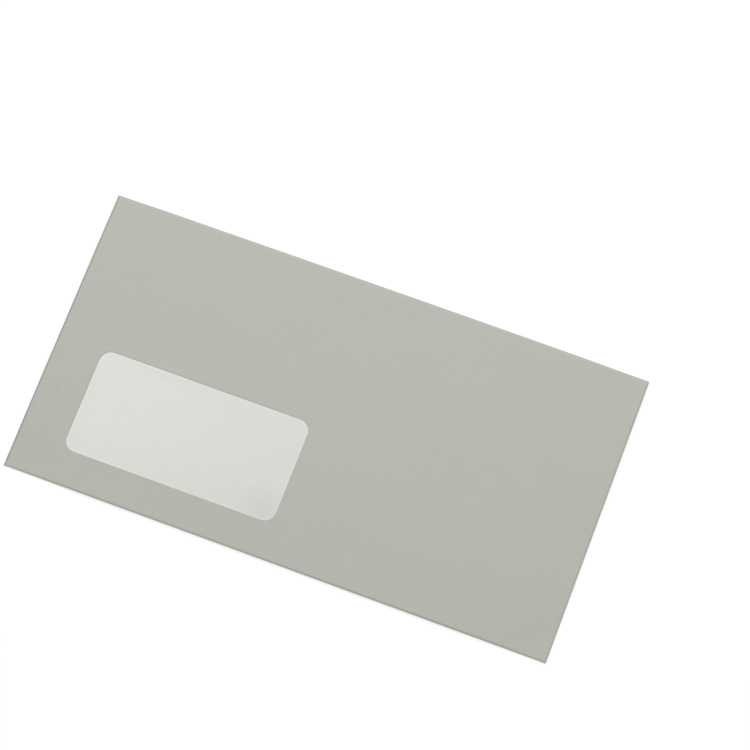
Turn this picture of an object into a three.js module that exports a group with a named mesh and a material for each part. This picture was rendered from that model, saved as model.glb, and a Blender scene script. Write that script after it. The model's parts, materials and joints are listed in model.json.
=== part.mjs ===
// A self-seal window envelope made from one folded paper blank.
// Units are millimetres. The envelope lies on its back, with the window side up (+Z),
// the top fold towards +Y and the bottom fold towards -Y. Both flaps lie flat on the table under
// its upper part, so the rest of it leans a little, from there down to its bottom fold.
// The origin is under the middle of the envelope, at the height that it rests on.

import * as THREE from "three";
import { mergeGeometries } from "three/addons/utils/BufferGeometryUtils.js";

// Finished size over the folds
const width = 235;
const height = 125;

// Sheets and coats
const paperThickness = 0.1;
const filmThickness = 0.04;
const gumThickness = 0.03;
const latexThickness = 0.05;

// Clear heights between the folded layers
const pocketGap = 1.5;
const flapGap = 0.4;
const seatGap = 0.01;

// Window hole in the front, from the left and bottom edges of the envelope
const windowWidth = 92;
const windowHeight = 45;
const windowFromLeft = 20;
const windowFromBottom = 15;
const windowCornerRadius = 5;

// Film behind the window, and the gum frame between the edges of film and window
const filmOverlap = 6;
const windowGumMargin = 1;

// Back panel, which ends in the throat where letters go in
const throatFromTop = 23.5;
const backInset = 1;

// Upper flap, folded down from the top edge
const upperFlapDepth = 17;
const upperFlapInsetAtFold = 0.9;
const upperFlapInsetAtEnd = 2.5;
const upperFlapCornerRadius = 4.5;

// Lower flap, folded out over the back panel from the throat
const lowerFlapDepth = 13;
const lowerFlapInsetAtFold = 2.2;
const lowerFlapInsetAtEnd = 2.6;
const lowerFlapCornerRadius = 4.5;

// Side flaps, folded in behind the front and gummed to the back panel
const sideFlapWidth = 11.5;
const sideFlapFromFold = 0.5;
const sideFlapMitre = 5;
const sideFlapCornerRadius = 2;
const seamGumMargin = 2.5;
const seamGumFromThroat = 3;

// Self-seal coats near the free edges of both flaps
const latexFromEdge = 1;
const latexFromSide = 7;
const upperLatexFromFold = 6;
const lowerLatexFromFold = 3;

// Fineness of the curves
const foldSteps = 10;
const cornerSteps = 8;

// How close two points lie that are one point of the sheet
const weldDistance = 0.002;

// Heights of the middle of each paper layer above the outer face of the back panel
const backLevel = paperThickness / 2;
const sideLevel = backLevel + paperThickness + gumThickness + 2 * seatGap;
const frontLevel = sideLevel + paperThickness + pocketGap;

// Radii of the folds at the middle of the paper, and the fold lines where flat stretches end
const sideFoldRadius = (frontLevel - sideLevel) / 2;
const foldLineX = width / 2 - sideFoldRadius - paperThickness / 2;
const bottomFoldRadius = (frontLevel - backLevel) / 2;
const bottomFoldLineY = -height / 2 + bottomFoldRadius + paperThickness / 2;
const throatFoldRadius = (paperThickness + flapGap) / 2;
const throatFoldLineY = height / 2 - throatFromTop - throatFoldRadius - paperThickness / 2;
const backReach = throatFoldLineY - bottomFoldLineY;

// The lean that lifts the throat off the table by the lower flap and the gap over it, and
// the share of a half turn by which each flap is folded to lie level
const lean = Math.asin((paperThickness + flapGap) / backReach);
const flapTurn = 1 + lean / Math.PI;

// The top fold, as high as the front stands over the level upper flap
const topRise = (height / 2 - paperThickness / 2 - bottomFoldLineY) * Math.sin(lean);
const topFoldRadius = (frontLevel - backLevel + topRise) / (2 + Math.sin(lean));
const topFoldLineY = height / 2 - topFoldRadius - paperThickness / 2;

// Length of each flap's flat stretch, from its fold line to its free edge
const upperFlapReach = upperFlapDepth - topFoldRadius - paperThickness / 2;
const lowerFlapReach = lowerFlapDepth - throatFoldRadius - paperThickness / 2;

// Middle of the window
const windowCentreX = -width / 2 + windowFromLeft + windowWidth / 2;
const windowCentreY = -height / 2 + windowFromBottom + windowHeight / 2;

// Top of the gum frame behind the window
const windowGumTop = frontLevel - paperThickness / 2 - seatGap;

const paperMaterial = new THREE.MeshStandardMaterial({
  color: 0xb9bab0,
  roughness: 0.9,
  metalness: 0,
});
const filmMaterial = new THREE.MeshStandardMaterial({
  color: 0xdededa,
  roughness: 0.45,
  metalness: 0,
});
const gumMaterial = new THREE.MeshStandardMaterial({
  color: 0xd8d3bf,
  roughness: 0.6,
  metalness: 0,
});
const latexMaterial = new THREE.MeshStandardMaterial({
  color: 0xc9c6b4,
  roughness: 0.35,
  metalness: 0,
});

// The window hole around a centre, or a hole of the same form and another size.
function roundedHole(centreX, centreY, sizeX, sizeY, radius) {
  const x = sizeX / 2 - radius;
  const y = sizeY / 2 - radius;
  const quarter = Math.PI / 2;
  const hole = new THREE.Path();
  hole.absarc(centreX + x, centreY - y, radius, -quarter, 0);
  hole.absarc(centreX + x, centreY + y, radius, 0, quarter);
  hole.absarc(centreX - x, centreY + y, radius, quarter, 2 * quarter);
  hole.absarc(centreX - x, centreY - y, radius, 2 * quarter, 3 * quarter);
  return hole;
}

function rectangle(left, right, bottom, top) {
  const shape = new THREE.Shape();
  shape.moveTo(left, bottom);
  shape.lineTo(right, bottom);
  shape.lineTo(right, top);
  shape.lineTo(left, top);
  return shape;
}

// A flap seen with its fold line along X at y = 0 and its free edge at y = depth.
// Its sides taper in, and its two free corners are round.
function flapShape(foldHalfWidth, endHalfWidth, depth, cornerRadius) {
  const lean = Math.atan2(foldHalfWidth - endHalfWidth, depth);
  const cornerX = endHalfWidth - cornerRadius * Math.tan(Math.PI / 4 - lean / 2);
  const cornerY = depth - cornerRadius;
  const shape = new THREE.Shape();
  shape.moveTo(-foldHalfWidth, 0);
  shape.lineTo(foldHalfWidth, 0);
  shape.absarc(cornerX, cornerY, cornerRadius, lean, Math.PI / 2);
  shape.absarc(-cornerX, cornerY, cornerRadius, Math.PI / 2, Math.PI - lean);
  return shape;
}

// The flat front, with the ends of every fold line on its outline and the window cut out.
function frontShape() {
  const backX = width / 2 - backInset;
  const upperX = width / 2 - upperFlapInsetAtFold;
  const sideTop = topFoldLineY - sideFlapFromFold;
  const sideBottom = bottomFoldLineY + sideFlapFromFold;
  const shape = new THREE.Shape();
  shape.moveTo(-foldLineX, bottomFoldLineY);
  shape.lineTo(-backX, bottomFoldLineY);
  shape.lineTo(backX, bottomFoldLineY);
  shape.lineTo(foldLineX, bottomFoldLineY);
  shape.lineTo(foldLineX, sideBottom);
  shape.lineTo(foldLineX, sideTop);
  shape.lineTo(foldLineX, topFoldLineY);
  shape.lineTo(upperX, topFoldLineY);
  shape.lineTo(-upperX, topFoldLineY);
  shape.lineTo(-foldLineX, topFoldLineY);
  shape.lineTo(-foldLineX, sideTop);
  shape.lineTo(-foldLineX, sideBottom);
  shape.holes.push(
    roundedHole(windowCentreX, windowCentreY, windowWidth, windowHeight, windowCornerRadius),
  );
  return shape;
}

// A flat stretch of the sheet, placed by its matrix. Its local Z is the paper's outer side.
function flatPanel(shape, placement) {
  const panel = new THREE.ShapeGeometry(shape, cornerSteps);
  panel.deleteAttribute("uv");
  return panel.applyMatrix4(placement);
}

// A place turned about a line along local X that lies a radius away from the sheet, by a share
// of a half turn. It goes towards local Z when direction is 1, and away from it when it is -1.
function turned(placement, radius, direction, share) {
  const offset = direction * radius;
  return placement
    .clone()
    .multiply(new THREE.Matrix4().makeTranslation(0, 0, offset))
    .multiply(new THREE.Matrix4().makeRotationX(direction * share * Math.PI))
    .multiply(new THREE.Matrix4().makeTranslation(0, 0, -offset));
}

// The bent strip between two panels, from x = -half to x = half along the fold line.
function foldStrip(half, placement, radius, direction, share) {
  const positions = [];
  const normals = [];
  const index = [];
  for (let step = 0; step <= foldSteps; step += 1) {
    const ring = turned(placement, radius, direction, (share * step) / foldSteps);
    const outward = new THREE.Vector3(0, 0, 1).transformDirection(ring);
    for (const x of [-half, half]) {
      positions.push(...new THREE.Vector3(x, 0, 0).applyMatrix4(ring));
      normals.push(...outward);
    }
  }
  for (let step = 0; step < foldSteps; step += 1) {
    const first = step * 2;
    index.push(first, first + 1, first + 3);
    index.push(first, first + 3, first + 2);
  }
  const strip = new THREE.BufferGeometry();
  strip.setAttribute("position", new THREE.Float32BufferAttribute(positions, 3));
  strip.setAttribute("normal", new THREE.Float32BufferAttribute(normals, 3));
  strip.setIndex(index);
  return strip;
}

// Makes one point of those that panels and strips share along a fold line.
function weld(surface) {
  const points = surface.getAttribute("position");
  const normals = surface.getAttribute("normal");
  const kept = [];
  const keptNormals = [];
  const keptAs = [];
  for (let i = 0; i < points.count; i += 1) {
    const point = new THREE.Vector3().fromBufferAttribute(points, i);
    let found = kept.findIndex((other) => other.distanceTo(point) < weldDistance);
    if (found < 0) {
      found = kept.length;
      kept.push(point);
      keptNormals.push(new THREE.Vector3().fromBufferAttribute(normals, i));
    }
    keptAs.push(found);
  }
  const welded = new THREE.BufferGeometry().setFromPoints(kept);
  const directions = keptNormals.flatMap((normal) => normal.toArray());
  welded.setAttribute("normal", new THREE.Float32BufferAttribute(directions, 3));
  welded.setIndex([...surface.getIndex().array].map((i) => keptAs[i]));
  return welded;
}

// Gives a surface its thickness, half on each side, and closes it along its free edges.
function thicken(surface, thickness) {
  const points = surface.getAttribute("position");
  const normals = surface.getAttribute("normal");
  const triangles = surface.getIndex().array;
  const count = points.count;
  const positions = [];
  for (const side of [0.5, -0.5]) {
    for (let i = 0; i < count; i += 1) {
      const outward = new THREE.Vector3().fromBufferAttribute(normals, i);
      const point = new THREE.Vector3().fromBufferAttribute(points, i);
      positions.push(...point.addScaledVector(outward, side * thickness));
    }
  }
  const faces = [];
  const edges = new Map();
  for (let i = 0; i < triangles.length; i += 3) {
    const [a, b, c] = triangles.slice(i, i + 3);
    faces.push(a, b, c, a + count, c + count, b + count);
    for (const [from, to] of [[a, b], [b, c], [c, a]]) {
      edges.set(`${from},${to}`, [from, to]);
    }
  }
  for (const [from, to] of edges.values()) {
    if (!edges.has(`${to},${from}`)) {
      faces.push(to, from, from + count, to, from + count, to + count);
    }
  }
  const solid = new THREE.BufferGeometry();
  solid.setAttribute("position", new THREE.Float32BufferAttribute(positions, 3));
  solid.setIndex(faces);
  solid.computeVertexNormals();
  return solid;
}

// The place of a fold line on the front: its middle, and the turn that points local Y away
// from the front.
function foldLine(x, y, turn) {
  return new THREE.Matrix4()
    .makeTranslation(x, y, frontLevel)
    .multiply(new THREE.Matrix4().makeRotationZ(turn));
}

const topFold = foldLine(0, topFoldLineY, 0);
const bottomFold = foldLine(0, bottomFoldLineY, Math.PI);
const upperFlapPlace = turned(topFold, topFoldRadius, -1, flapTurn);
const backPlace = turned(bottomFold, bottomFoldRadius, -1, 1);
const throatOffset = new THREE.Matrix4().makeTranslation(0, backReach, 0);
const throatFold = backPlace.clone().multiply(throatOffset);
const lowerFlapPlace = turned(throatFold, throatFoldRadius, 1, flapTurn);

// The upper flap, folded behind the front.
function upperFlap() {
  const foldHalf = width / 2 - upperFlapInsetAtFold;
  const endHalf = width / 2 - upperFlapInsetAtEnd;
  const shape = flapShape(foldHalf, endHalf, upperFlapReach, upperFlapCornerRadius);
  return [
    foldStrip(foldHalf, topFold, topFoldRadius, -1, flapTurn),
    flatPanel(shape, upperFlapPlace),
  ];
}

// One side flap, mitred at both ends and folded in behind the front.
function sideFlap(side) {
  const middleY = (topFoldLineY + bottomFoldLineY) / 2;
  const sideFold = foldLine(side * foldLineX, middleY, (-side * Math.PI) / 2);
  const foldHalf = (topFoldLineY - bottomFoldLineY) / 2 - sideFlapFromFold;
  const reach = sideFlapWidth - sideFoldRadius - paperThickness / 2;
  const shape = flapShape(foldHalf, foldHalf - sideFlapMitre, reach, sideFlapCornerRadius);
  return [
    foldStrip(foldHalf, sideFold, sideFoldRadius, -1, 1),
    flatPanel(shape, turned(sideFold, sideFoldRadius, -1, 1)),
  ];
}

// The back panel, folded up from the bottom edge, and the lower flap, folded out from it.
function backPanelAndLowerFlap() {
  const backHalf = width / 2 - backInset;
  const throatHalf = width / 2 - lowerFlapInsetAtFold;
  const endHalf = width / 2 - lowerFlapInsetAtEnd;
  const back = new THREE.Shape();
  back.moveTo(-backHalf, 0);
  back.lineTo(backHalf, 0);
  back.lineTo(backHalf, backReach);
  back.lineTo(throatHalf, backReach);
  back.lineTo(-throatHalf, backReach);
  back.lineTo(-backHalf, backReach);
  const lower = flapShape(throatHalf, endHalf, lowerFlapReach, lowerFlapCornerRadius);
  return [
    foldStrip(backHalf, bottomFold, bottomFoldRadius, -1, 1),
    flatPanel(back, backPlace),
    foldStrip(throatHalf, throatFold, throatFoldRadius, 1, flapTurn),
    flatPanel(lower, lowerFlapPlace),
  ];
}

// The whole blank as one folded sheet.
function foldedPaper() {
  const front = flatPanel(frontShape(), new THREE.Matrix4().makeTranslation(0, 0, frontLevel));
  const stretches = [
    front,
    ...upperFlap(),
    ...sideFlap(-1),
    ...sideFlap(1),
    ...backPanelAndLowerFlap(),
  ];
  return thicken(weld(mergeGeometries(stretches)), paperThickness);
}

// A thin flat layer from one height up to another.
function layer(shape, bottom, top) {
  const solid = new THREE.ExtrudeGeometry(shape, {
    depth: top - bottom,
    bevelEnabled: false,
    curveSegments: cornerSteps,
  });
  return solid.translate(0, 0, bottom);
}

// The film patch, as much larger than the window on each side as the overlap less a margin.
function filmOutline(margin) {
  const halfX = windowWidth / 2 + filmOverlap - margin;
  const halfY = windowHeight / 2 + filmOverlap - margin;
  return rectangle(
    windowCentreX - halfX,
    windowCentreX + halfX,
    windowCentreY - halfY,
    windowCentreY + halfY,
  );
}

// The gum frame that holds the film to the inside of the front.
function windowGum() {
  const outline = filmOutline(windowGumMargin);
  outline.holes.push(
    roundedHole(
      windowCentreX,
      windowCentreY,
      windowWidth + 2 * windowGumMargin,
      windowHeight + 2 * windowGumMargin,
      windowCornerRadius + windowGumMargin,
    ),
  );
  return layer(outline, windowGumTop - gumThickness, windowGumTop);
}

function windowFilm() {
  const top = windowGumTop - gumThickness - seatGap;
  return layer(filmOutline(0), top - filmThickness, top);
}

// The gum between one side flap and the back panel.
function seamGum(side) {
  const nearFold = foldLineX - seamGumMargin;
  const nearEdge = width / 2 - sideFlapWidth + seamGumMargin;
  const bottom = bottomFoldLineY + sideFlapFromFold + sideFlapMitre;
  const top = throatFoldLineY - seamGumFromThroat;
  const left = side < 0 ? -nearFold : nearEdge;
  const right = side < 0 ? -nearEdge : nearFold;
  const gumBottom = backLevel + paperThickness / 2 + seatGap;
  return layer(rectangle(left, right, bottom, top), gumBottom, gumBottom + gumThickness);
}

// The self-seal coat on one face of a flap, between its fold line and its free edge.
// It lies on the paper's outer side when face is 1, and on its inner side when face is -1.
function latexCoat(flapPlace, flapReach, fromFold, face) {
  const half = width / 2 - latexFromSide;
  const shape = rectangle(-half, half, fromFold, flapReach - latexFromEdge);
  const near = paperThickness / 2 + seatGap;
  const far = near + latexThickness;
  const coat = face > 0 ? layer(shape, near, far) : layer(shape, -far, -near);
  return coat.applyMatrix4(flapPlace);
}

const envelope = new THREE.Group();

function addPiece(name, geometry, material) {
  const piece = new THREE.Mesh(geometry, material);
  piece.name = name;
  envelope.add(piece);
}

addPiece("envelope_paper", foldedPaper(), paperMaterial);
addPiece("window_film", windowFilm(), filmMaterial);
addPiece("window_gum", windowGum(), gumMaterial);
addPiece("seam_gum_left", seamGum(-1), gumMaterial);
addPiece("seam_gum_right", seamGum(1), gumMaterial);
addPiece(
  "upper_flap_latex",
  latexCoat(upperFlapPlace, upperFlapReach, upperLatexFromFold, -1),
  latexMaterial,
);
addPiece(
  "lower_flap_latex",
  latexCoat(lowerFlapPlace, lowerFlapReach, lowerLatexFromFold, 1),
  latexMaterial,
);

// Leans the envelope, which levels its flaps, and sets the origin under its middle.
envelope.rotation.x = lean;
const extent = new THREE.Box3().setFromObject(envelope, true);
const middle = extent.getCenter(new THREE.Vector3());
envelope.position.set(-middle.x, -middle.y, -extent.min.z);

const part = new THREE.Group();
part.add(envelope);

export default part;
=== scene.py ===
import json
import math

import bmesh
import bpy
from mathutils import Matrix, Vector, noise


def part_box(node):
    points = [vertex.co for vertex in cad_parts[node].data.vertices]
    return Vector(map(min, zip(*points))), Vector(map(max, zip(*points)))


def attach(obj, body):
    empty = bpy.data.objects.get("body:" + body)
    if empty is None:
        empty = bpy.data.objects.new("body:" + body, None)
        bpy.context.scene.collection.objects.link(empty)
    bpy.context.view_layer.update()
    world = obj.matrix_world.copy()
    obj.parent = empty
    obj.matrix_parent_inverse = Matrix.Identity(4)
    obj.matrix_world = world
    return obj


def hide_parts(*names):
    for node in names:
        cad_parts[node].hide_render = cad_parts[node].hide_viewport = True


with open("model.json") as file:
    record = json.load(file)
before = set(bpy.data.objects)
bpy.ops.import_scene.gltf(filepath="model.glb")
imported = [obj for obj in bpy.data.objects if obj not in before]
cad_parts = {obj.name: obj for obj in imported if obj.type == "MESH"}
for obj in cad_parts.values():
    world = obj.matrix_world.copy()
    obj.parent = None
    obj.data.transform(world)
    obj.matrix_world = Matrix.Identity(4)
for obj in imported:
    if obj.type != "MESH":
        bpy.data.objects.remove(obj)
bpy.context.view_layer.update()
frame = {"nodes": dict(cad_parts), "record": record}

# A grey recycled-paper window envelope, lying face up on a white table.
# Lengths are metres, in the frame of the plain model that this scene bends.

MM = 0.001

# The paper, and how finely it is cut up before it is bent
PAPER_THICKNESS = 0.1 * MM
PANEL_STEP = 1.8 * MM
SMOOTH_ANGLE = math.radians(32)
SAME_POINT = 1e-7
ON_CUTTING_PLANE = 1e-8

# How far, as a share, a face's narrow side may differ from the thickness on a cut edge
CUT_EDGE_SPREAD = 0.03

# Depths below the outer face of the front that part the layers from each other
FRONT_AND_FILM = 0.22 * MM
BACK_STARTS = 1.55 * MM
FLAPS_START = 1.95 * MM

# Distances from the top edge
UPPER_FLAP_DEPTH = 17 * MM
THROAT_FROM_TOP = 23.5 * MM
LOWER_FLAP_DEPTH = 13 * MM
PAST_THROAT = 1 * MM

# The window hole in the front, and the height that only the front reaches beside it
WINDOW_FROM_LEFT = 20 * MM
WINDOW_FROM_BOTTOM = 15 * MM
WINDOW_WIDTH = 92 * MM
WINDOW_HEIGHT = 45 * MM
WINDOW_CORNER = 5 * MM
FRONT_LEVEL = 0.7 * MM

# How far the loose paper bends
SIDE_PINCH = 0.75 * MM
BOTTOM_PINCH = 0.45 * MM
CORNER_PINCH = 0.5 * MM
MOST_PINCH = 1.25 * MM
FRONT_DIP = 0.3 * MM
BACK_SAG = 0.22 * MM
FLAP_WAVE = 0.2 * MM
TOP_EDGE_BOW = 0.3 * MM
PINCH_REACH = 30 * MM
CORNER_PINCH_REACH = 21 * MM
DIP_REACH = 18 * MM
SAG_REACH = 45 * MM
TABLE_CLEARANCE = 0.02 * MM

# Rolls of the paper: the size of each, and the seed of its pattern
BROAD_ROLL = (75 * MM, 11.0)
NARROW_ROLL = (30 * MM, 17.0)
BROAD_SHARE = 0.75
BACK_ROLL = (60 * MM, 23.0)
UPPER_FLAP_ROLL = (46 * MM, 3.0)
LOWER_FLAP_ROLL = (46 * MM, 7.0)

# The painted shade along the outer folds, and the shares of it that are left at the bottom and right
PAINTED_FOLD_SHADE_REACH = 1.15 * MM
PAINTED_FOLD_SHADE_FULL = 0.4 * MM
PAINTED_FOLD_SHADE_LOW = 0.3
PAINTED_FOLD_SHADE_RIGHT = 0.3
PAINTED_FOLD_SHADE_FADE = 4 * MM

# Where that painted shade starts to fade and where it has faded, as shares of half the width from the
# middle
PAINTED_FOLD_SHADE_FADES_FROM = -0.85
PAINTED_FOLD_SHADE_FADES_TO = -0.6

# The thin line of painted shade round the window, stronger at its upper left, and the film's paler rim
WINDOW_PAINTED_SHADE_WIDTH = 0.5 * MM
WINDOW_PAINTED_SHADE_FULL = 0.2 * MM
WINDOW_PAINTED_SHADE_FAINT = 0.15
WINDOW_PAINTED_SHADE_STRONG = 0.5
UPPER_LEFT_START = -0.2
UPPER_LEFT_FULL = 0.6
FILM_RIM_WIDTH = 0.9 * MM

# The film, with painted light at its left that fades to painted shade at its right, painted shade in its
# lower right corner, and warmer in patches
FILM_PAINTED_LIGHT_AT = -95 * MM
FILM_PAINTED_SHADE_AT = -5 * MM
FILM_PAINTED_LIGHT = 1.03
FILM_PAINTED_SHADE = 0.965
FILM_PAINTED_CORNER_SHADE_PLACE = (-11 * MM, -44 * MM, 2 * MM)
FILM_PAINTED_CORNER_SHADE_REACH = 15 * MM
FILM_PAINTED_CORNER_SHADE = 0.94
WARM_START = 0.42
WARM_FULL = 0.68
WARM_SHARE = 0.4
FILM_RIPPLE = 90

# Fibres in three layers: turn, stretch, and the noise level above which a fibre shows
FIBRE_LAYERS = (
    (0.4, (900, 260, 1), 0.745),
    (1.7, (760, 240, 1), 0.75),
    (2.6, (420, 520, 1), 0.76),
)
FIBRE_SOFTNESS = 0.045
FIBRE_DETAIL = 1.5

# Grain and weave of the paper, and how much the weave changes its tone
GRAIN_SCALE = 2600
GRAIN_SHARE = 0.6
WEAVE_SCALE = 620
WEAVE_LOW = 0.2
WEAVE_HIGH = 0.8
WEAVE_DARK = 0.992
WEAVE_LIGHT = 1.008

# Where the paper lifts a little along the window's upper edge
EDGE_LIFT = 0.25 * MM
EDGE_LIFT_AT = -70 * MM
EDGE_LIFT_LENGTH = 16 * MM
EDGE_LIFT_WIDTH = 2.2 * MM

# Where the fold lines meet near a corner, and how far the folds' ends are drawn out to it
FOLD_END_ACROSS = 0.95 * MM
FOLD_END_ALONG = 1.7 * MM
CORNER_DRAW_ACROSS = 0.86 * MM
CORNER_DRAW_ALONG = 1.6 * MM
CORNER_REACH = 7 * MM
EDGE_CLEARANCE = 0.03 * MM

# Camera of the reference view: place, turn in degrees and lens
CAMERA_PLACE = Vector((165.99, -288.58, 1160.33)) * MM
CAMERA_TURN = (16.746, 1.63, 20.801)
CAMERA_LENS = 141.71
SENSOR_WIDTH = 36
NEAREST_SEEN = 0.05

# Table, white surroundings and lamp
TABLE_HALF = 3.0
TABLE_WHITE = (0.9, 0.9, 0.9)
TABLE_GLOW = 1.14
TABLE_GLOW_SHARE = 0.6
ROOM_LEVEL = 0.6
ROOM_SEEN_EXTRA = 0.45
LAMP_PLACE = (-0.1, 0.65, 0.92)
LAMP_SIZE = 0.6
LAMP_POWER = 6.45

# Colours, as linear values
PAPER_GREY = (0.487, 0.487, 0.441)
FIBRE_DARK = (0.24, 0.23, 0.20)
EDGE_GREY = (0.56, 0.56, 0.51)
FILM_WHITE = (0.711, 0.717, 0.682)
FILM_WARM = (0.70, 0.685, 0.64)
FILM_RIM_TINT = (1.055, 1.055, 1.02)
# Painted shade along the outer folds
PAINTED_FOLD_SHADE_GREY = (0.38, 0.352, 0.335)
# Painted shade round the window's edge
WINDOW_PAINTED_SHADE = (0.39, 0.38, 0.34)
GUM_YELLOW = (0.66, 0.62, 0.48)
LATEX_CREAM = (0.58, 0.56, 0.45)


# The envelope's own directions and outline, from the plain model

mounts = {mount["name"]: mount for mount in frame["record"]["mounts"]}
front_point = Vector(mounts["front_face"]["pos_m"])
front_up = Vector(mounts["front_face"]["axis"])
paper_low, paper_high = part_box("envelope_paper")
HALF_WIDTH = (paper_high.x - paper_low.x) / 2
HALF_HEIGHT = (paper_high.y - paper_low.y) / 2
THROAT_LINE = HALF_HEIGHT - THROAT_FROM_TOP
WINDOW_TOP = WINDOW_FROM_BOTTOM + WINDOW_HEIGHT - HALF_HEIGHT


def smooth(low, high, value):
    """0 at low, 1 at high, with a soft start and end between them."""
    share = min(max((value - low) / (high - low), 0.0), 1.0)
    return share * share * (3 - 2 * share)


def roll(x, y, size, seed):
    """A gentle roll of the paper between 0 and 1, over about size metres."""
    return min(max(0.5 + noise.noise(Vector((x / size, y / size, seed))), 0.0), 1.0)


def pinch(in_x, in_y, from_bottom):
    """How much nearer the front lies to the back than in the flat model, at most at the corners."""
    side = 1 - smooth(0, PINCH_REACH, in_x)
    bottom = 1 - smooth(0, PINCH_REACH, from_bottom)
    corner = (1 - smooth(0, CORNER_PINCH_REACH, in_x)) * (1 - smooth(0, CORNER_PINCH_REACH, in_y))
    total = SIDE_PINCH * side + BOTTOM_PINCH * bottom + CORNER_PINCH * corner
    return min(total, MOST_PINCH)


def drawn_to_corner(across, along):
    """New distances from the side and end of the envelope, with its folds' ends drawn out."""
    near_side = 1 - smooth(FOLD_END_ACROSS, 2 * FOLD_END_ACROSS, across)
    near_end = 1 - smooth(FOLD_END_ALONG, 2 * FOLD_END_ALONG, along)
    draw_along = CORNER_DRAW_ALONG * (1 - smooth(FOLD_END_ALONG, CORNER_REACH, along))
    draw_across = CORNER_DRAW_ACROSS * (1 - smooth(FOLD_END_ACROSS, CORNER_REACH, across))
    new_across = max(across - draw_across * near_end, min(across, EDGE_CLEARANCE))
    new_along = max(along - draw_along * near_side, min(along, EDGE_CLEARANCE))
    return new_across, new_along


def front_shift(x, y, in_x, in_y):
    """Height change of the front and its film."""
    free = smooth(0, DIP_REACH, in_x) * smooth(0, DIP_REACH, in_y)
    rolls = BROAD_SHARE * roll(x, y, *BROAD_ROLL) + (1 - BROAD_SHARE) * roll(x, y, *NARROW_ROLL)
    dip = FRONT_DIP * rolls
    along = (x - EDGE_LIFT_AT) / EDGE_LIFT_LENGTH
    across = (y - WINDOW_TOP) / EDGE_LIFT_WIDTH
    lift = EDGE_LIFT * math.exp(-along * along - across * across)
    return lift - pinch(in_x, in_y, y + HALF_HEIGHT) - dip * free


def back_shift(x, y, in_x):
    """Height change of the back panel and the side flaps, which touch the table in places."""
    free = smooth(0, PINCH_REACH, in_x) * smooth(0, SAG_REACH, y + HALF_HEIGHT)
    near_throat = smooth(0, PINCH_REACH, THROAT_LINE - y)
    return -BACK_SAG * free * near_throat * roll(x, y, *BACK_ROLL)


def flap_shift(x, share, size, seed):
    """Height change of a flap, which curls off the table in places along its free edge."""
    return FLAP_WAVE * share * max(2 * roll(x, 0, size, seed) - 1, 0)


def bent(point):
    """Where a point of the flat, folded model lies on the real, slightly wavy envelope."""
    x, y = point.x, point.y
    depth = (front_point - point).dot(front_up)
    in_x, in_y = HALF_WIDTH - abs(x), HALF_HEIGHT - abs(y)
    top = front_shift(x, y, in_x, in_y)
    upper = y > THROAT_LINE + PAST_THROAT
    if upper or depth > FLAPS_START:
        fold, reach = (HALF_HEIGHT, UPPER_FLAP_DEPTH) if upper else (THROAT_LINE, LOWER_FLAP_DEPTH)
        share = smooth(0, reach, fold - y)
        low = flap_shift(x, share, *(UPPER_FLAP_ROLL if upper else LOWER_FLAP_ROLL))
        between = smooth(FRONT_AND_FILM, FLAPS_START, depth)
    else:
        low = back_shift(x, y, in_x)
        between = smooth(FRONT_AND_FILM, BACK_STARTS, depth)
    height = point.z + top * (1 - between) + low * between
    height = max(height, min(point.z, TABLE_CLEARANCE))
    new_in_x, new_in_y = drawn_to_corner(in_x, in_y)
    bow = TOP_EDGE_BOW * (x / HALF_WIDTH) ** 2 * smooth(-HALF_HEIGHT, HALF_HEIGHT, y) ** 2
    new_x = math.copysign(HALF_WIDTH - new_in_x, x)
    new_y = math.copysign(HALF_HEIGHT - new_in_y, y) - bow
    return Vector((new_x, new_y, height))


def cut_finely(mesh):
    """Cuts a mesh along evenly spaced lines, first across and then along the envelope."""
    for axis, low, high in ((0, paper_low.x, paper_high.x), (1, paper_low.y, paper_high.y)):
        count = round((high - low) / PANEL_STEP)
        normal = Vector((axis == 0, axis == 1, 0))
        for index in range(1, count):
            place = normal * (low + (high - low) * index / count)
            parts = mesh.verts[:] + mesh.edges[:] + mesh.faces[:]
            bmesh.ops.bisect_plane(
                mesh, geom=parts, dist=ON_CUTTING_PLANE, plane_co=place, plane_no=normal,
            )


def mark_cut_edges(mesh):
    """Gives the narrow faces along the sheet's cut edges the second material."""
    for face in mesh.faces:
        shortest = min(edge.calc_length() for edge in face.edges)
        if abs(shortest - PAPER_THICKNESS) < CUT_EDGE_SPREAD * PAPER_THICKNESS:
            face.material_index = 1


def bend_node(node, materials):
    """A fine, slightly wavy copy of one solid of the plain model, which stands for it."""
    solid = frame["nodes"][node]
    mesh = bmesh.new()
    mesh.from_mesh(solid.data)
    mesh.transform(solid.matrix_world)
    bmesh.ops.remove_doubles(mesh, verts=mesh.verts[:], dist=SAME_POINT)
    if len(materials) > 1:
        mark_cut_edges(mesh)
    cut_finely(mesh)
    for vertex in mesh.verts:
        vertex.co = bent(vertex.co)
    bmesh.ops.triangulate(mesh, faces=[face for face in mesh.faces if len(face.verts) > 4])
    mesh.normal_update()
    for face in mesh.faces:
        face.smooth = True
    for edge in mesh.edges:
        if len(edge.link_faces) == 2:
            edge.smooth = edge.calc_face_angle() < SMOOTH_ANGLE
    data = bpy.data.meshes.new(node + "_bent")
    mesh.to_mesh(data)
    mesh.free()
    for material in materials:
        data.materials.append(material)
    piece = bpy.data.objects.new(node + "_bent", data)
    bpy.context.scene.collection.objects.link(piece)
    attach(piece, "root")
    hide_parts(node)
    return piece


# Shader helpers

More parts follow.
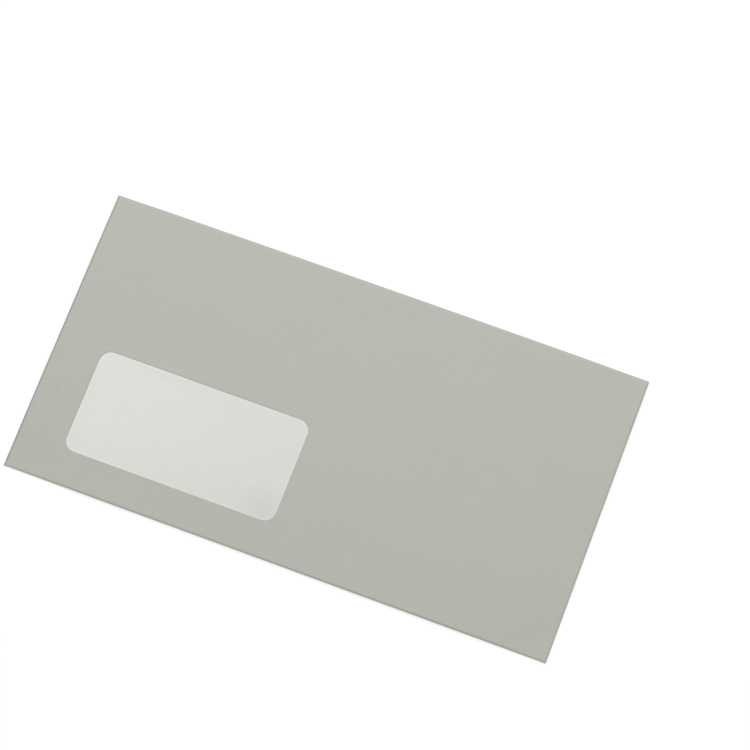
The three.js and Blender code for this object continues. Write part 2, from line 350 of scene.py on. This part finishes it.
def new_group(name, inputs, outputs):
    """A shader node group with its sockets, and its input and output nodes."""
    group = bpy.data.node_groups.new(name, "ShaderNodeTree")
    for label, kind, value in inputs:
        socket = group.interface.new_socket(name=label, in_out="INPUT", socket_type=kind)
        if value is not None:
            socket.default_value = value
    for label, kind in outputs:
        group.interface.new_socket(name=label, in_out="OUTPUT", socket_type=kind)
    return group, group.nodes.new("NodeGroupInput"), group.nodes.new("NodeGroupOutput")


def math_node(tree, operation, first, second=0.0):
    """One sum, product or the like of two numbers or sockets."""
    node = tree.nodes.new("ShaderNodeMath")
    node.operation = operation
    for socket, value in zip(node.inputs, (first, second)):
        if hasattr(value, "links"):
            tree.links.new(value, socket)
        else:
            socket.default_value = value
    return node.outputs[0]


def noise_node(tree, where, scale, detail, roughness=0.5):
    """A cloudy value between 0 and 1."""
    node = tree.nodes.new("ShaderNodeTexNoise")
    tree.links.new(where, node.inputs["Vector"])
    node.inputs["Scale"].default_value = scale
    node.inputs["Detail"].default_value = detail
    node.inputs["Roughness"].default_value = roughness
    return node.outputs["Fac"]


def ramp(tree, value, low, high, to_low=0.0, to_high=1.0):
    """A value that passes softly from to_low at low to to_high at high."""
    node = tree.nodes.new("ShaderNodeMapRange")
    node.interpolation_type = "SMOOTHSTEP"
    tree.links.new(value, node.inputs["Value"])
    labels = ("From Min", "From Max", "To Min", "To Max")
    for label, number in zip(labels, (low, high, to_low, to_high)):
        node.inputs[label].default_value = number
    return node.outputs["Result"]


def mix_colour(tree, factor, first, second, blend="MIX"):
    """Two colours mixed by a factor, which like them may be a value or a socket."""
    node = tree.nodes.new("ShaderNodeMix")
    node.data_type = "RGBA"
    node.blend_type = blend
    for label, value in (("Factor_Float", factor), ("A_Color", first), ("B_Color", second)):
        socket = next(s for s in node.inputs if s.identifier == label)
        if hasattr(value, "links"):
            tree.links.new(value, socket)
        else:
            socket.default_value = value
    return next(s for s in node.outputs if s.identifier == "Result_Color")


def shaded(tree, colour, level):
    """A colour made lighter or darker by a level."""
    grey = tree.nodes.new("ShaderNodeCombineColor")
    for socket in grey.inputs:
        tree.links.new(level, socket)
    return mix_colour(tree, 1.0, colour, grey.outputs[0], "MULTIPLY")


def axes_of(tree, where):
    """The three parts of a place."""
    node = tree.nodes.new("ShaderNodeSeparateXYZ")
    tree.links.new(where, node.inputs[0])
    return node.outputs


def stretched(tree, where, turn, scale):
    """Coordinates turned about Z and stretched, so that round spots become short fibres."""
    node = tree.nodes.new("ShaderNodeMapping")
    tree.links.new(where, node.inputs["Vector"])
    node.inputs["Rotation"].default_value = (0, 0, turn)
    node.inputs["Scale"].default_value = scale
    return node.outputs["Vector"]


def mottle_group():
    """Soft lighter and darker clouds, for any sheet or coat."""
    group, given, made = new_group(
        "Soft mottle",
        [("Where", "NodeSocketVector", None), ("Color", "NodeSocketColor", None),
         ("Cloud Size", "NodeSocketFloat", 30.0), ("Amount", "NodeSocketFloat", 0.05)],
        [("Color", "NodeSocketColor"), ("Cloud", "NodeSocketFloat")],
    )
    clouds = group.nodes.new("ShaderNodeTexNoise")
    clouds.inputs["Detail"].default_value = 5
    clouds.inputs["Roughness"].default_value = 0.55
    group.links.new(given.outputs["Where"], clouds.inputs["Vector"])
    group.links.new(given.outputs["Cloud Size"], clouds.inputs["Scale"])
    swing = math_node(group, "SUBTRACT", clouds.outputs["Fac"], 0.5)
    swing = math_node(group, "MULTIPLY", swing, given.outputs["Amount"])
    level = math_node(group, "ADD", swing, 1.0)
    group.links.new(shaded(group, given.outputs["Color"], level), made.inputs["Color"])
    group.links.new(clouds.outputs["Fac"], made.inputs["Cloud"])
    return group


def fibre_group():
    """Short dark fibres pressed into recycled paper, with the height of its grain."""
    group, given, made = new_group(
        "Pressed fibres",
        [("Where", "NodeSocketVector", None), ("Color", "NodeSocketColor", None),
         ("Fibre Color", "NodeSocketColor", None), ("Amount", "NodeSocketFloat", 0.3)],
        [("Color", "NodeSocketColor"), ("Height", "NodeSocketFloat")],
    )
    where = given.outputs["Where"]
    colour = given.outputs["Color"]
    for turn, scale, level in FIBRE_LAYERS:
        spots = noise_node(group, stretched(group, where, turn, scale), 1.0, FIBRE_DETAIL)
        mask = ramp(group, spots, level - FIBRE_SOFTNESS, level)
        mask = math_node(group, "MULTIPLY", mask, given.outputs["Amount"])
        colour = mix_colour(group, mask, colour, given.outputs["Fibre Color"])
    grain = noise_node(group, where, GRAIN_SCALE, detail=3, roughness=0.6)
    weave = noise_node(group, where, WEAVE_SCALE, detail=2)
    grain = math_node(group, "MULTIPLY", grain, GRAIN_SHARE)
    height = math_node(group, "ADD", grain, weave)
    tone = ramp(group, weave, WEAVE_LOW, WEAVE_HIGH, WEAVE_DARK, WEAVE_LIGHT)
    group.links.new(shaded(group, colour, tone), made.inputs["Color"])
    group.links.new(height, made.inputs["Height"])
    return group


def painted_fold_shade_group():
    """Painted shade: a slightly greyed line along the envelope's outer folds, where they turn from the
    light.
    """
    group, given, made = new_group(
        "Painted outer fold shade",
        [("Where", "NodeSocketVector", None), ("Color", "NodeSocketColor", None),
         ("Line Color", "NodeSocketColor", None)],
        [("Color", "NodeSocketColor")],
    )
    x, y, _ = axes_of(group, given.outputs["Where"])
    past_side = math_node(group, "SUBTRACT", math_node(group, "ABSOLUTE", x), HALF_WIDTH)
    past_end = math_node(group, "SUBTRACT", math_node(group, "ABSOLUTE", y), HALF_HEIGHT)
    nearest = math_node(group, "MAXIMUM", past_side, past_end)
    line = ramp(group, nearest, -PAINTED_FOLD_SHADE_REACH, -PAINTED_FOLD_SHADE_FULL)
    low_fade = ramp(group, y, -HALF_HEIGHT, PAINTED_FOLD_SHADE_FADE - HALF_HEIGHT, PAINTED_FOLD_SHADE_LOW, 1.0)
    fades_from = PAINTED_FOLD_SHADE_FADES_FROM * HALF_WIDTH
    fades_to = PAINTED_FOLD_SHADE_FADES_TO * HALF_WIDTH
    right_fade = ramp(group, x, fades_from, fades_to, 1.0, PAINTED_FOLD_SHADE_RIGHT)
    line = math_node(group, "MULTIPLY", line, math_node(group, "MULTIPLY", low_fade, right_fade))
    colour = mix_colour(group, line, given.outputs["Color"], given.outputs["Line Color"])
    group.links.new(colour, made.inputs["Color"])
    return group


def past_straight(tree, from_middle, size):
    """How far a place is past the straight stretch of a window side, where its corner starts."""
    distance = math_node(tree, "ABSOLUTE", from_middle)
    return math_node(tree, "SUBTRACT", distance, size / 2 - WINDOW_CORNER)


def window_outline_group():
    """Distance outwards from the edge of the window, and how far a place is to its upper left."""
    group, given, made = new_group(
        "Window outline",
        [("Where", "NodeSocketVector", None)],
        [("Distance", "NodeSocketFloat"), ("Upper Left", "NodeSocketFloat"),
         ("On Front", "NodeSocketFloat")],
    )
    x, y, z = axes_of(group, given.outputs["Where"])
    middle_x = WINDOW_FROM_LEFT + WINDOW_WIDTH / 2 - HALF_WIDTH
    middle_y = WINDOW_FROM_BOTTOM + WINDOW_HEIGHT / 2 - HALF_HEIGHT
    from_x = math_node(group, "SUBTRACT", x, middle_x)
    from_y = math_node(group, "SUBTRACT", y, middle_y)
    corner_x = past_straight(group, from_x, WINDOW_WIDTH)
    corner_y = past_straight(group, from_y, WINDOW_HEIGHT)
    round_x = math_node(group, "POWER", math_node(group, "MAXIMUM", corner_x, 0), 2)
    round_y = math_node(group, "POWER", math_node(group, "MAXIMUM", corner_y, 0), 2)
    outside = math_node(group, "SQRT", math_node(group, "ADD", round_x, round_y))
    inside = math_node(group, "MINIMUM", math_node(group, "MAXIMUM", corner_x, corner_y), 0)
    distance = math_node(group, "ADD", outside, inside)
    distance = math_node(group, "SUBTRACT", distance, WINDOW_CORNER)
    up = math_node(group, "DIVIDE", from_y, WINDOW_HEIGHT)
    right = math_node(group, "DIVIDE", from_x, WINDOW_WIDTH)
    diagonal = math_node(group, "SUBTRACT", up, right)
    group.links.new(distance, made.inputs["Distance"])
    upper_left = ramp(group, diagonal, UPPER_LEFT_START, UPPER_LEFT_FULL)
    on_front = ramp(group, z, FRONT_LEVEL, FRONT_LEVEL + PAPER_THICKNESS)
    group.links.new(upper_left, made.inputs["Upper Left"])
    group.links.new(on_front, made.inputs["On Front"])
    return group


SOFT_MOTTLE = mottle_group()
PRESSED_FIBRES = fibre_group()
# Painted shade along the outer folds
PAINTED_FOLD_SHADE = painted_fold_shade_group()
WINDOW_OUTLINE = window_outline_group()


def new_material(name, roughness, specular):
    """A material with its shader, and the coordinates that its texture follows."""
    material = bpy.data.materials.new(name)
    material.use_nodes = True
    tree = material.node_tree
    shader = tree.nodes["Principled BSDF"]
    shader.inputs["Roughness"].default_value = roughness
    shader.inputs["Specular IOR Level"].default_value = specular
    where = tree.nodes.new("ShaderNodeTexCoord").outputs["Object"]
    return material, tree, shader, where


def place_group(tree, group, where, **values):
    """One use of a node group, with values or sockets for its inputs."""
    node = tree.nodes.new("ShaderNodeGroup")
    node.node_tree = group
    tree.links.new(where, node.inputs["Where"])
    for label, value in values.items():
        socket = node.inputs[label.replace("_", " ")]
        if hasattr(value, "links"):
            tree.links.new(value, socket)
        else:
            socket.default_value = value
    return node


def rgba(colour):
    """A colour with full cover."""
    return (*colour, 1.0)


def add_bump(tree, shader, height, distance, strength):
    """A fine relief on a surface."""
    bump = tree.nodes.new("ShaderNodeBump")
    bump.inputs["Distance"].default_value = distance
    bump.inputs["Strength"].default_value = strength
    tree.links.new(height, bump.inputs["Height"])
    tree.links.new(bump.outputs["Normal"], shader.inputs["Normal"])


def recycled_paper(name, colour, amount):
    """Matt grey paper with fibres, painted shade along the outer folds and a thin line of painted shade
    round the window.
    """
    material, tree, shader, where = new_material(name, roughness=0.88, specular=0.25)
    clouds = place_group(tree, SOFT_MOTTLE, where, Color=rgba(colour), Cloud_Size=42.0, Amount=0.03)
    fibres = place_group(
        tree, PRESSED_FIBRES, where, Color=clouds.outputs["Color"],
        Fibre_Color=rgba(FIBRE_DARK), Amount=amount,
    )
    # Painted shade along the outer folds
    folds = place_group(
        tree, PAINTED_FOLD_SHADE, where, Color=fibres.outputs["Color"], Line_Color=rgba(PAINTED_FOLD_SHADE_GREY),
    )
    window = place_group(tree, WINDOW_OUTLINE, where)
    outwards = window.outputs["Distance"]
    # A thin line of painted shade on the front round the window's edge, stronger at its upper left
    line = ramp(tree, outwards, WINDOW_PAINTED_SHADE_FULL, WINDOW_PAINTED_SHADE_WIDTH, 1.0, 0.0)
    share = ramp(tree, window.outputs["Upper Left"], 0, 1, WINDOW_PAINTED_SHADE_FAINT, WINDOW_PAINTED_SHADE_STRONG)
    line = math_node(tree, "MULTIPLY", line, share)
    line = math_node(tree, "MULTIPLY", line, window.outputs["On Front"])
    colour = mix_colour(tree, line, folds.outputs["Color"], rgba(WINDOW_PAINTED_SHADE))
    tree.links.new(colour, shader.inputs["Base Color"])
    add_bump(tree, shader, fibres.outputs["Height"], distance=0.03 * MM, strength=0.35)
    return material


def milky_film():
    """The smooth, cloudy white film behind the window, with painted light and shade across it."""
    material, tree, shader, where = new_material("milky_film", roughness=0.42, specular=0.45)
    clouds = place_group(
        tree, SOFT_MOTTLE, where, Color=rgba(FILM_WHITE), Cloud_Size=60.0, Amount=0.05,
    )
    warm = ramp(tree, clouds.outputs["Cloud"], WARM_START, WARM_FULL, 0.0, WARM_SHARE)
    colour = mix_colour(tree, warm, clouds.outputs["Color"], rgba(FILM_WARM))
    # Painted light at the film's left, fading to painted shade at its right
    x, _, _ = axes_of(tree, where)
    colour = shaded(tree, colour, ramp(tree, x, FILM_PAINTED_LIGHT_AT, FILM_PAINTED_SHADE_AT, FILM_PAINTED_LIGHT, FILM_PAINTED_SHADE))
    # Painted shade in the film's lower right corner
    shade = tree.nodes.new("ShaderNodeVectorMath")
    shade.operation = "DISTANCE"
    shade.inputs[1].default_value = FILM_PAINTED_CORNER_SHADE_PLACE
    tree.links.new(where, shade.inputs[0])
    level = ramp(tree, shade.outputs["Value"], 0, FILM_PAINTED_CORNER_SHADE_REACH, FILM_PAINTED_CORNER_SHADE, 1.0)
    colour = shaded(tree, colour, level)
    window = place_group(tree, WINDOW_OUTLINE, where)
    rim = ramp(tree, window.outputs["Distance"], -FILM_RIM_WIDTH, -0.5 * FILM_RIM_WIDTH)
    colour = mix_colour(tree, rim, colour, rgba(FILM_RIM_TINT), "MULTIPLY")
    tree.links.new(colour, shader.inputs["Base Color"])
    ripple = noise_node(tree, where, FILM_RIPPLE, detail=2)
    add_bump(tree, shader, ripple, distance=0.25 * MM, strength=0.35)
    return material


def dried_coat(name, colour, roughness):
    """A thin, uneven coat of dried gum or latex."""
    material, tree, shader, where = new_material(name, roughness, specular=0.4)
    clouds = place_group(
        tree, SOFT_MOTTLE, where, Color=rgba(colour), Cloud_Size=300.0, Amount=0.15,
    )
    tree.links.new(clouds.outputs["Color"], shader.inputs["Base Color"])
    add_bump(tree, shader, clouds.outputs["Cloud"], distance=0.05 * MM, strength=0.4)
    return material


# Pieces

paper_face = recycled_paper("recycled_paper_face", PAPER_GREY, amount=0.12)
paper_edge = recycled_paper("recycled_paper_cut_edge", EDGE_GREY, amount=0.06)
film_face = milky_film()
gum_coat = dried_coat("dried_gum", GUM_YELLOW, roughness=0.5)
latex_coat = dried_coat("dried_latex", LATEX_CREAM, roughness=0.35)

PIECES = (
    ("envelope_paper", (paper_face, paper_edge), "recycled_paper"),
    ("window_film", (film_face,), "window_film"),
    ("window_gum", (gum_coat,), "dry_gum"),
    ("seam_gum_left", (gum_coat,), "dry_gum"),
    ("seam_gum_right", (gum_coat,), "dry_gum"),
    ("upper_flap_latex", (latex_coat,), "latex_coat"),
    ("lower_flap_latex", (latex_coat,), "latex_coat"),
)
for node, materials, slot in PIECES:
    bend_node(node, materials)


# Table and light

def white_table():
    """A white floor that stays white to the camera and keeps the envelope's shadow."""
    data = bpy.data.meshes.new("table_top")
    corners = [
        (TABLE_HALF * side, TABLE_HALF * end, -TABLE_CLEARANCE)
        for side, end in ((-1, -1), (1, -1), (1, 1), (-1, 1))
    ]
    data.from_pydata(corners, [], [(0, 1, 2, 3)])
    table = bpy.data.objects.new("table_top", data)
    bpy.context.scene.collection.objects.link(table)
    material, tree, shader, _ = new_material("white_table", roughness=1.0, specular=0.0)
    shader.inputs["Base Color"].default_value = rgba(TABLE_WHITE)
    glow = tree.nodes.new("ShaderNodeEmission")
    glow.inputs["Strength"].default_value = TABLE_GLOW
    mix = tree.nodes.new("ShaderNodeMixShader")
    path = tree.nodes.new("ShaderNodeLightPath")
    seen = math_node(tree, "MAXIMUM", path.outputs["Is Camera Ray"], path.outputs["Is Glossy Ray"])
    seen = math_node(tree, "MAXIMUM", seen, path.outputs["Is Transmission Ray"])
    tree.links.new(math_node(tree, "MULTIPLY", seen, TABLE_GLOW_SHARE), mix.inputs["Fac"])
    tree.links.new(shader.outputs[0], mix.inputs[1])
    tree.links.new(glow.outputs[0], mix.inputs[2])
    tree.links.new(mix.outputs[0], tree.nodes["Material Output"].inputs["Surface"])
    data.materials.append(material)


def studio_light():
    """Even white surroundings and one large soft lamp at the upper left of the picture."""
    world = bpy.data.worlds.new("white_room")
    world.use_nodes = True
    tree = world.node_tree
    back = tree.nodes["Background"]
    path = tree.nodes.new("ShaderNodeLightPath")
    seen = math_node(tree, "MAXIMUM", path.outputs["Is Camera Ray"], path.outputs["Is Transmission Ray"])
    level = math_node(tree, "MULTIPLY", seen, ROOM_SEEN_EXTRA)
    tree.links.new(math_node(tree, "ADD", level, ROOM_LEVEL), back.inputs["Strength"])
    back.inputs["Color"].default_value = (1, 1, 1, 1)
    bpy.context.scene.world = world
    lamp_data = bpy.data.lights.new("soft_box", "AREA")
    lamp_data.shape = "SQUARE"
    lamp_data.size = LAMP_SIZE
    lamp_data.energy = LAMP_POWER
    lamp = bpy.data.objects.new("soft_box", lamp_data)
    lamp.location = LAMP_PLACE
    lamp.rotation_mode = "QUATERNION"
    lamp.rotation_quaternion = lamp.location.to_track_quat("Z", "Y")
    bpy.context.scene.collection.objects.link(lamp)


def camera():
    """The camera, high over the envelope and turned to it."""
    data = bpy.data.cameras.new("camera")
    data.sensor_width = SENSOR_WIDTH
    data.lens = CAMERA_LENS
    data.clip_start = NEAREST_SEEN
    eye = bpy.data.objects.new("camera", data)
    eye.location = CAMERA_PLACE
    eye.rotation_euler = [math.radians(turn) for turn in CAMERA_TURN]
    bpy.context.scene.collection.objects.link(eye)
    bpy.context.scene.camera = eye


white_table()
studio_light()
camera()
bpy.context.scene.view_settings.view_transform = "Standard"
